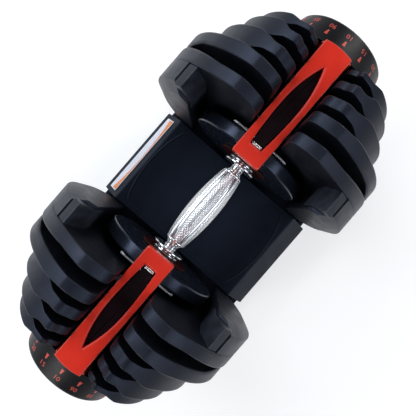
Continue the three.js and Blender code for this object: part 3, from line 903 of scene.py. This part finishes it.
def bar_mesh():
    low, high = box_mm("right_bridge")
    end = high.x - BAR_BOW / 2
    outline = [(low.x, -BAR_HALF_WIDTH), (end - 1.4, -BAR_HALF_WIDTH)]
    bow = bezier(outline[1], (high.x + 1.3, 0), (end - 1.4, BAR_HALF_WIDTH), 16)
    outline += bow[1:] + [(low.x, BAR_HALF_WIDTH)]
    radii = [2.0] + [0.0] * (len(outline) - 2) + [2.0]
    outline = rounded(outline, radii, 5)

    def underside(u, v):
        return BAR_Z[0] if u < DRUM_CLEARANCE_X else DRUM_CLEARANCE_Z

    def at_window(u, v):
        return low.x + 6 < u < end - 6 and abs(v) < BAR_HALF_WIDTH - 3

    def edge(u, v):
        return WINDOW_BEVEL if at_window(u, v) else (1.3, 1.3)
    return slab_z([outline, window(0)[::-1]], underside, BAR_Z[1], edge=edge, low_edge=0.4,
                  cuts=(DRUM_CLEARANCE_X,), bevel=lambda u, v: 0.8 if at_window(u, v) else 0.0)


def build_bridge():
    flange = slab([circle(FLANGE_RADIUS, 96), hole(SHAFT_BORE, 48)], *FLANGE_X, edge=0.5)
    riser = slab([rectangle((-BAR_HALF_WIDTH, RISER_FOOT), (BAR_HALF_WIDTH, BAR_Z[0] + 2), 1.0)],
                 *FLANGE_X, edge=0.4)
    leg = slab([rectangle((-LEG_HALF_WIDTH, LEG_FOOT), (LEG_HALF_WIDTH, BAR_Z[0] + 0.9), 2.5),
                hole(SLEEVE_HOLE)], *LEG_X, edge=0.5)
    head_piece("bridge", merged(bar_mesh(), riser, leg), "red_plastic")
    # The flange gets the darkened red: painted shade.
    head_piece("bridge_flange", flange, "flange_red_painted_shade", replace=False)
    low, high = box_mm("right_window_insert")
    bottom, top = low.z - SHAFT_HEIGHT, high.z - SHAFT_HEIGHT
    pane = slab_z([window(0.35, CLIP_SHELF_END)], bottom, top - 0.8, edge=0.7)
    shelf = slab_z([rectangle((WINDOW_START + 0.35, -5.6), (CLIP_SHELF_END + 2, 5.6), 1)],
                   bottom, top - 2.1, edge=0.3)
    insert = merged(pane, shelf)
    for polygon in insert.polygons:
        polygon.use_smooth = len(polygon.vertices) <= MOST_SMOOTH_CORNERS
    head_piece("window_insert", insert, "window_plastic")
    low, high = box_mm("right_window_clip")
    clip = slab_z([rectangle((low.x, low.y), (high.x, high.y), 0.9)], low.z - SHAFT_HEIGHT,
                  high.z - SHAFT_HEIGHT, edge=0.8)
    head_piece("window_clip", clip, "chrome")


# ---------- grip, rings and shaft ----------

GRIP_END_RADIUS = 10.6
GRIP_KNURL_END = 46.8
GRIP_DOME_RADIUS = 8.3
GRIP_DOME_END = 50.2
GRIP_BORE = 6.9
KNURL_FADE = (2.2, 0.8)
KNURL_DEPTH = 0.4
KNURLS_ROUND = 40
KNURL_PITCH = 2.45
FLUTES = 6
FLUTE_HALF_ANGLE = 7.5
FLUTE_DEPTH = 0.55


def triangle_wave(t):
    return 1 - abs(2 * (t - math.floor(t)) - 1)


def grip_relief(x, angle):
    """How far a point of the grip lies below the barrel: knurled panels between smooth flutes."""
    step = 360 / FLUTES
    across = (math.degrees(angle) + step / 2) % step
    from_flute = min(across, step - across)
    start, end = (GRIP_KNURL_END - margin for margin in KNURL_FADE)
    fade = 1 - smoothstep(start, end, abs(x))
    turn = KNURLS_ROUND * angle / (2 * math.pi)
    along = x / KNURL_PITCH
    diamond = min(triangle_wave(turn + along), triangle_wave(turn - along))
    panel = smoothstep(FLUTE_HALF_ANGLE, FLUTE_HALF_ANGLE + 1.5, from_flute)
    groove = math.cos(math.pi / 2 * min(1, from_flute / FLUTE_HALF_ANGLE)) ** 0.7
    return fade * (panel * KNURL_DEPTH * (1 - diamond) + FLUTE_DEPTH * groove)


def build_grip():
    low, high = box_mm("grip")
    largest = (high.z - low.z) / 2
    steps = 330
    profile = []
    for i in range(steps + 1):
        x = GRIP_KNURL_END * (2 * i / steps - 1)
        swell = 1 - (x / GRIP_KNURL_END) ** 2
        profile.append((x, GRIP_END_RADIUS + (largest - GRIP_END_RADIUS) * swell))
    end = high.x
    cap = [(GRIP_KNURL_END, GRIP_END_RADIUS), (GRIP_KNURL_END + 0.5, GRIP_END_RADIUS - 0.4),
           (GRIP_KNURL_END + 0.6, GRIP_DOME_RADIUS)]
    cap += bezier((GRIP_KNURL_END + 0.9, GRIP_DOME_RADIUS + 0.1),
                  (GRIP_DOME_END - 0.4, GRIP_DOME_RADIUS), (GRIP_DOME_END, GRIP_BORE + 0.4), 10)
    cap += [(end, GRIP_BORE + 0.3), (end, GRIP_BORE)]
    profile += cap[1:]
    profile += [(-x, radius) for x, radius in reversed(cap[1:])]

    def shape(x, radius, angle):
        if radius <= GRIP_END_RADIUS or abs(x) >= GRIP_KNURL_END:
            return x, radius
        return x, radius - grip_relief(x, angle)
    mesh = lathe(profile, 480, shape)
    piece("grip_finish", on_shaft(mesh), "knurled_chrome", "handle", ["grip"], weighted=False)


COLLAR_LIP = 15.2
COLLAR_LIP_X = 59.4


def build_rings():
    low, high, radius = round_mm("right_flange_ring")
    head_piece("flange_ring", lathe(ring_profile(SHAFT_BORE, radius, (low.x, high.x), 0.9)), "chrome")
    low, high, radius = round_mm("right_collar")
    corners = [(low.x, SHAFT_BORE), (low.x, radius), (COLLAR_LIP_X, radius), (COLLAR_LIP_X, COLLAR_LIP),
               (high.x, COLLAR_LIP), (high.x, SHAFT_BORE)]
    head_piece("collar", lathe(rounded(corners, [0.3, 0.7, 0.4, 0.7, 0.7, 0.3])), "chrome")


def build_shaft():
    radius = (SHAFT_HIGH.z - SHAFT_LOW.z) / 2
    end = SHAFT_HIGH.x
    profile = [(-end, 0), (-end, radius - 0.6), (-end + 0.6, radius), (end - 0.6, radius),
               (end, radius - 0.6), (end, 0)]
    piece("shaft_finish", on_shaft(lathe(profile, 64)), "steel", "handle", ["shaft"])


# ---------- selector and dial ----------

SETTINGS = 17
STEP = 360 / SETTINGS
LIFTS = {
    1: (1, 4, 6, 9, 11, 14, 16),
    2: (2, 7, 12, 15, 16),
    3: (3, 4, 8, 9, 13, 14, 15, 16),
    4: tuple(range(10, 17)),
    5: tuple(range(5, 17)),
}
DISC_WEB = 2.4
FLANGE_INNER = 36
FLANGE_SPREAD = 0.42
SLEEVE_BORE = 6.9


def runs_of(settings):
    """Neighbouring settings that share one flange, as (first, last)."""
    runs = []
    for setting in settings:
        if runs and runs[-1][1] == setting - 1:
            runs[-1][1] = setting
        else:
            runs.append([setting, setting])
    return runs


def build_selector():
    for number, lifts in LIFTS.items():
        low, high = box_mm(f"right_selector_disc_{number}")
        radius = high.z - SHAFT_HEIGHT
        shells = [slab([circle(radius, 102), hole(SLEEVE_HOLE)], low.x, low.x + DISC_WEB, edge=0.35)]
        for first, last in runs_of(lifts):
            start = (first - FLANGE_SPREAD) * STEP - 90
            end = (last + FLANGE_SPREAD) * STEP - 90
            steps = 5 * (last - first + 1)
            outline = arc(radius, start, end, steps) + arc(FLANGE_INNER, end, start, steps)
            shells.append(slab([outline], low.x + DISC_WEB - 0.5, high.x, edge=0.35))
        head_piece(f"selector_disc_{number}", merged(*shells), "black_plastic", "{side}_dial")
    low, high = box_mm("right_selector_sleeve")
    radius = (high.z - low.z) / 2
    sleeve = lathe(ring_profile(SLEEVE_BORE, radius, (low.x, high.x), 0.4), 72)
    head_piece("selector_sleeve", sleeve, "steel", "{side}_dial")


DRUM_BACK_RADIUS = 58
DRUM_END_RADIUS = 50.5
DRUM_LIP_X = 213
DRUM_HUB_RADIUS = 16.6
FACE_THICKNESS = 3.5
FACE_RADIUS = 44
FACE_X = 209
FIRST_NUMBER = 10
NUMBER_STEP = 5
DIGIT_X = 206.3
DIGIT_SIZE = 7.0
DIGIT_HEIGHT = 0.1
TICK_X = (194.6, 200.4)
TICK_HALF_WIDTH = (1.65, 0.75)


DRUM_BACK = box_mm("right_dial_drum")[0].x
DRUM_SLOPE = math.atan2(DRUM_BACK_RADIUS - DRUM_END_RADIUS, DRUM_LIP_X - DRUM_BACK)


def drum_radius(x):
    share = (x - DRUM_BACK) / (DRUM_LIP_X - DRUM_BACK)
    return DRUM_BACK_RADIUS + (DRUM_END_RADIUS - DRUM_BACK_RADIUS) * share


def laid_on_drum(mesh, unit, x, turn):
    """A flat mark, drawn in this unit in x and y, laid round the drum with its top to the grip."""
    for vert in mesh.vertices:
        across, up, out = vert.co / unit
        place = x - up * math.cos(DRUM_SLOPE)
        radius = drum_radius(place) + out * math.cos(DRUM_SLOPE)
        angle = across / radius - turn
        vert.co = Vector((place + out * math.sin(DRUM_SLOPE), radius * math.sin(angle),
                          radius * math.cos(angle))) * MM
    return mesh


def text_mesh(number):
    """Thin raised digits, centred, in millimetres."""
    curve = bpy.data.curves.new("digits", "FONT")
    curve.body = str(number)
    curve.size = DIGIT_SIZE
    curve.extrude = DIGIT_HEIGHT
    curve.align_x = "CENTER"
    curve.align_y = "CENTER"
    curve.resolution_u = 4
    curve.space_character = 1.05
    obj = placed("digits", curve)
    mesh = evaluated(obj)
    bpy.data.objects.remove(obj)
    bpy.data.curves.remove(curve)
    return mesh


def digit_meshes():
    made = []
    for setting in range(SETTINGS):
        turn = math.radians(setting * STEP)
        digits = text_mesh(FIRST_NUMBER + NUMBER_STEP * setting)
        made.append(laid_on_drum(digits, 1, DIGIT_X, turn))
        made.append(laid_on_drum(tick_mesh(), MM, sum(TICK_X) / 2, turn))
    return made


def tick_mesh():
    """A small wedge between a number and the bridge, wide at the bridge."""
    wide, narrow = TICK_HALF_WIDTH
    half = (TICK_X[1] - TICK_X[0]) / 2
    corners = [(-narrow, -half), (narrow, -half), (wide, half), (-wide, half)]
    return slab_z([corners], -DIGIT_HEIGHT, DIGIT_HEIGHT, edge=0.03)


def build_dial():
    hub = DRUM_HUB_RADIUS
    face_back = FACE_X - FACE_THICKNESS
    corners = [(DRUM_BACK, DRUM_BACK_RADIUS - 4), (DRUM_BACK, DRUM_BACK_RADIUS),
               (DRUM_LIP_X, DRUM_END_RADIUS), (HALF_LENGTH, DRUM_END_RADIUS - 2),
               (HALF_LENGTH, FACE_RADIUS), (FACE_X, FACE_RADIUS), (FACE_X, SLEEVE_BORE),
               (DRUM_BACK, SLEEVE_BORE), (DRUM_BACK, hub), (face_back, hub),
               (face_back, FACE_RADIUS + 1)]
    profile = rounded(corners, [0.3, 0.8, 1.2, 1.0, 0.6, 0.8, 0.2, 0.3, 0.3, 0.5, 0.5])
    head_piece("dial_drum", lathe(profile, 170), "dial_plastic", "{side}_dial")
    head_piece("dial_numbers", merged(*digit_meshes()), "digit_ink", "{side}_dial", weighted=False,
               replace=False)


CAP_BACK = 211.6
CAP_HUB_RADIUS = 13
CAP_HOLE = 9.5
CAP_BAR = (6, 40)
SCREW_SOCKET = 4
SCREW_SOCKET_FLOOR = 211.4


def build_cap():
    low, high, radius = round_mm("right_dial_cap")
    corners = [(low.x, CAP_HOLE), (low.x, radius), (CAP_BACK, radius), (CAP_BACK, CAP_HUB_RADIUS),
               (high.x, CAP_HUB_RADIUS), (high.x, CAP_HOLE)]
    disc = lathe(rounded(corners, [0.2, 0.4, 0.7, 1.0, 1.0, 0.5]))
    across, along = CAP_BAR
    bar = slab([rectangle((-across, -along), (across, along), 5), hole(CAP_HOLE + 0.4)],
               CAP_BACK - 0.6, high.x, edge=1.2, low_edge=0.2)
    head_piece("dial_cap", merged(disc, bar), "black_plastic", "{side}_dial")
    low, high, radius = round_mm("right_end_screw")
    head = slab([circle(radius), hole(SCREW_SOCKET, 6)], SCREW_SOCKET_FLOOR - 0.1, high.x, edge=0.7)
    base = lathe([(low.x, 0), (low.x, radius - 0.4), (low.x + 0.4, radius),
                  (SCREW_SOCKET_FLOOR, radius), (SCREW_SOCKET_FLOOR, 0)], 64)
    head_piece("end_screw", merged(head, base), "zinc")


# ---------- lock ----------

SPRING_TURNS = 5
SPRING_WIRE = 0.6
PIN_SPIGOT_RADIUS = 2.1
PIN_SPIGOT_LENGTH = 4.2


def build_lock():
    low, high, radius = round_mm("right_lock_pin")
    middle = (low.x + high.x) / 2
    bottom, top = low.z - SHAFT_HEIGHT, high.z - SHAFT_HEIGHT
    shoulder = top - PIN_SPIGOT_LENGTH
    profile = rounded([(bottom, 0), (bottom, radius), (shoulder, radius), (shoulder, PIN_SPIGOT_RADIUS),
                       (top, PIN_SPIGOT_RADIUS), (top, 0)], [0, 1.0, 0.5, 0.1, 0.4, 0])
    head_piece("lock_pin", post(profile, middle), "steel", "{side}_lock")
    low, high, radius = round_mm("right_lock_spring")
    coil = radius - SPRING_WIRE
    start, end = low.z - SHAFT_HEIGHT + SPRING_WIRE, high.z - SHAFT_HEIGHT - SPRING_WIRE
    path = []
    steps = 24 * SPRING_TURNS
    for i in range(steps + 1):
        angle = 2 * math.pi * SPRING_TURNS * i / steps
        height = start + (end - start) * smoothstep(-0.25, 1.25, i / steps)
        path.append((middle + coil * math.cos(angle), coil * math.sin(angle), height))
    head_piece("lock_spring", sweep(path, SPRING_WIRE), "steel")


# ---------- tray ----------

TRAY_FOOT = 3
TRAY_WALL = 3.5
TRAY_HALF_DEPTH = 110
TRAY_MIDDLE = 60
APRON_FOOT = 50
SADDLE_EDGE = (88, 74)
SADDLE_MIDDLE = 63
CRADLE_TOP = 58
CRADLE_HALF_DEPTH = 104
CRADLE_END = 192
CRADLE_START = 56.5
CRADLE_CORNER = 40
TROUGH_GAP = 0.55
RIB_HALF_DEPTH = 38
RIB_TOP = 60
RIBS_X = ((100, 106.5), (123.5, 129.5), (146, 152), (166.5, 172))
# Where each plate's trough starts along x, and the plate's radius. The last entry is the end.
TROUGHS = ((60.45, 119.5), (105.05, 118.4), (125.45, 101.8), (150.65, 91.4), (170.25, 83), (184.15, 0))
TROUGH_WALL = (123.15, 125.45)
TROUGH_WALL_RISE = 8
RIB_LOWEST = 8
RIB_SINK = 2
RIB_REACH = 6
CORE_DROP = 9
PILLAR_X = 70.5
PILLAR_RADIUS = 8
PILLAR_FOOT = 8
PILLAR_TOP = 46
PANEL_HALF_WIDTH = 54
PANEL_CORNER_Y = 76
PANEL_MIDDLE_Y = 85.5
PANEL_CORNER_REACH = 11
PANEL_SMOOTHINGS = 28
BEAD_RADIUS = 0.75


def dish(y):
    """Height of the saddle's dished middle at a distance y from the handle."""
    edge_y, edge_z = SADDLE_EDGE
    return SADDLE_MIDDLE + (edge_z - SADDLE_MIDDLE) * (y / edge_y) ** 2


def middle_section(wall):
    """Outline of the middle of the tray in y and z, counterclockwise, open at the floor."""
    depth = TRAY_HALF_DEPTH - wall
    foot = APRON_FOOT - wall * 0.4
    edge_y = SADDLE_EDGE[0] - wall * 0.4
    half = [(depth, TRAY_FOOT), (depth, foot)]
    rim = [(edge_y * k / 24, dish(edge_y * k / 24) - wall) for k in range(24, -25, -1)]
    points = half + rim + [(-y, z) for y, z in reversed(half)]
    radii = [0.0] * len(points)
    radii[1] = radii[-2] = 5.0
    radii[2] = radii[-3] = 4.0
    return rounded(points, radii, 6)


def build_tray():
    arch = middle_section(0) + middle_section(TRAY_WALL)[::-1]
    middle = slab([arch], -TRAY_MIDDLE, TRAY_MIDDLE, edge=0.9)
    end = slab([middle_section(0.2)], TRAY_MIDDLE - TRAY_WALL, TRAY_MIDDLE - 0.1, edge=0.3)
    head = cradle()
    shell = merged(middle, end, half_turned(end.copy()), head, half_turned(head.copy()), panel_bead())
    piece("tray_shell_finish", shell, "tray_plastic", "tray", ["tray_shell"])


def cradle_outline(inset):
    x, y = CRADLE_END - inset, CRADLE_HALF_DEPTH - inset
    radius = CRADLE_CORNER - inset
    start = CRADLE_START + (TRAY_WALL + 3 if inset else 0)
    return ([(start, -y)] + arc(radius, -90, 0, 24, (x - radius, -y + radius))
            + arc(radius, 0, 90, 24, (x - radius, y - radius)) + [(start, y)])


def stepped(wall):
    """The space of all the plates of one head, as one turned solid with steps."""
    profile = [(TROUGHS[0][0] - wall, 0)]
    for (start, radius), (end, _) in zip(TROUGHS, TROUGHS[1:]):
        full = radius + TROUGH_GAP + wall
        if end == TROUGH_WALL[1] and not wall:
            low, high = TROUGH_WALL
            ridge = TROUGHS[2][1] + TROUGH_GAP - TROUGH_WALL_RISE
            profile += [(start, full), (low, full), (low, ridge), (high, ridge)]
            continue
        profile += [(start + (wall if profile[-1][1] > full else -wall), full),
                    (end + wall, full)]
    profile.append((profile[-1][0], 0))
    return shifted(lathe(profile, 192), z=SHAFT_HEIGHT)


def cradle():
    block = slab_z([cradle_outline(0)], TRAY_FOOT, CRADLE_TOP, edge=2.2, low_edge=0.8)
    core = slab_z([cradle_outline(TRAY_WALL)], TRAY_FOOT - CORE_DROP, CRADLE_TOP - TRAY_WALL, edge=2)
    core = carved(core, stepped(TRAY_WALL))
    made = [carved(block, stepped(0), core)]
    half = RIB_HALF_DEPTH
    for start, end in RIBS_X:
        outline = rectangle((start, -half), (end, half), 2.0)
        made.append(slab_z([outline], rib_foot(start, end), RIB_TOP, edge=1.4))
    pillar = post([(PILLAR_FOOT, 0), (PILLAR_FOOT, PILLAR_RADIUS), (PILLAR_TOP - 0.8, PILLAR_RADIUS),
                   (PILLAR_TOP, PILLAR_RADIUS - 0.8), (PILLAR_TOP, 0)], PILLAR_X)
    return merged(*made, pillar)


def rib_foot(start, end):
    """Height of a rib's foot, inside the shell below the deepest trough beside it."""
    beside = [radius for (near, radius), (far, _) in zip(TROUGHS, TROUGHS[1:])
              if near < end + RIB_REACH and far > start - RIB_REACH]
    return max(RIB_LOWEST, SHAFT_HEIGHT - max(beside) - RIB_SINK)


def panel_bead():
    """The fine raised line round the dished panel."""
    half = PANEL_HALF_WIDTH
    bow = bezier((half, PANEL_CORNER_Y), (0, 2 * PANEL_MIDDLE_Y - PANEL_CORNER_Y),
                 (-half, PANEL_CORNER_Y), 24)
    outline = bow + [(-x, -y) for x, y in bow]
    corners = {0, len(bow) - 1, len(bow), len(outline) - 1}
    path = [(x, y, dish(y) + 0.1) for x, y in smooth_corners(outline, corners, PANEL_CORNER_REACH)]
    return sweep(path, BEAD_RADIUS, closed=True, sides=8)


def smooth_corners(loop, corners, reach):
    """A closed loop resampled evenly, with the parts near the given corners rounded."""
    marks = [Vector(loop[i]) for i in corners]
    dense = []
    count = len(loop)
    for i in range(count):
        here, ahead = Vector(loop[i]), Vector(loop[(i + 1) % count])
        steps = max(1, int((ahead - here).length / 1.5))
        dense += [here.lerp(ahead, k / steps) for k in range(steps)]
    for _ in range(PANEL_SMOOTHINGS):
        moved = []
        for i, point in enumerate(dense):
            nearest = min((point - mark).length for mark in marks)
            weight = 0.5 * (1 - smoothstep(reach * 0.7, reach * 1.3, nearest))
            middle = (dense[i - 1] + dense[(i + 1) % len(dense)]) / 2
            moved.append(point.lerp(middle, weight))
        dense = moved
    return [tuple(point) for point in dense]


# ---------- label, feet and lock posts ----------

LABEL_SIZE = (108, 15)
LABEL_CENTRE = (99.2, 61.8)
BAND_ENDS = 8.0
BAND_MIDDLE = 1.6


def build_label():
    run, rise = TRAY_HALF_DEPTH - SADDLE_EDGE[0], SADDLE_EDGE[1] - APRON_FOOT
    angle = math.atan2(rise, run)
    half_x, half_y = LABEL_SIZE[0] / 2, LABEL_SIZE[1] / 2
    sheet = slab_z([rectangle((-half_x, -half_y), (half_x, half_y), 0.6)], 0.02, 0.45, edge=0.08)
    edge = half_x - 1.2
    low = -half_y + 0.9
    curve = bezier((edge, low + BAND_ENDS), (0, low + 2 * BAND_MIDDLE - BAND_ENDS),
                   (-edge, low + BAND_ENDS), 24)
    band = slab_z([[(-edge, low), (edge, low), *curve]], 0.4, 0.5, edge=0.02)
    across = Vector((0, math.sin(angle), math.cos(angle)))
    centre = Vector((0, *LABEL_CENTRE)) + across * 0.3
    turn = Matrix.Translation(centre * MM) @ Matrix.Rotation(-angle, 4, "X")
    for name, mesh, material, nodes in (("tray_label_sheet", sheet, "label_white", ["tray_label"]),
                                        ("tray_label_band", band, "label_orange", [])):
        mesh.transform(turn)
        piece(name, mesh, material, "tray", nodes, weighted=False)


def post_mesh(node, edge):
    """An upright pin of a CAD node's size, with rounded ends."""
    low, high = box_mm(node)
    radius = (high.x - low.x) / 2
    profile = rounded([(low.z, 0), (low.z, radius), (high.z, radius), (high.z, 0)],
                      [0, edge, edge, 0])
    return post(profile, (low.x + high.x) / 2, (low.y + high.y) / 2)


def build_supports():
    for side in SIDES:
        for end in ("front", "rear"):
            node = f"{side}_{end}_foot"
            piece(f"{node}_finish", post_mesh(node, 0.8), "rubber", "tray", [node])
        node = f"{side}_lock_post"
        piece(f"{node}_finish", post_mesh(node, 0.6), "steel", "tray", [node])


for build in (make_camera, make_lights, make_floor, build_plates, build_guard, build_side_plate,
              build_bridge, build_grip, build_rings, build_shaft, build_selector, build_dial,
              build_cap, build_lock, build_tray, build_label, build_supports):
    build()
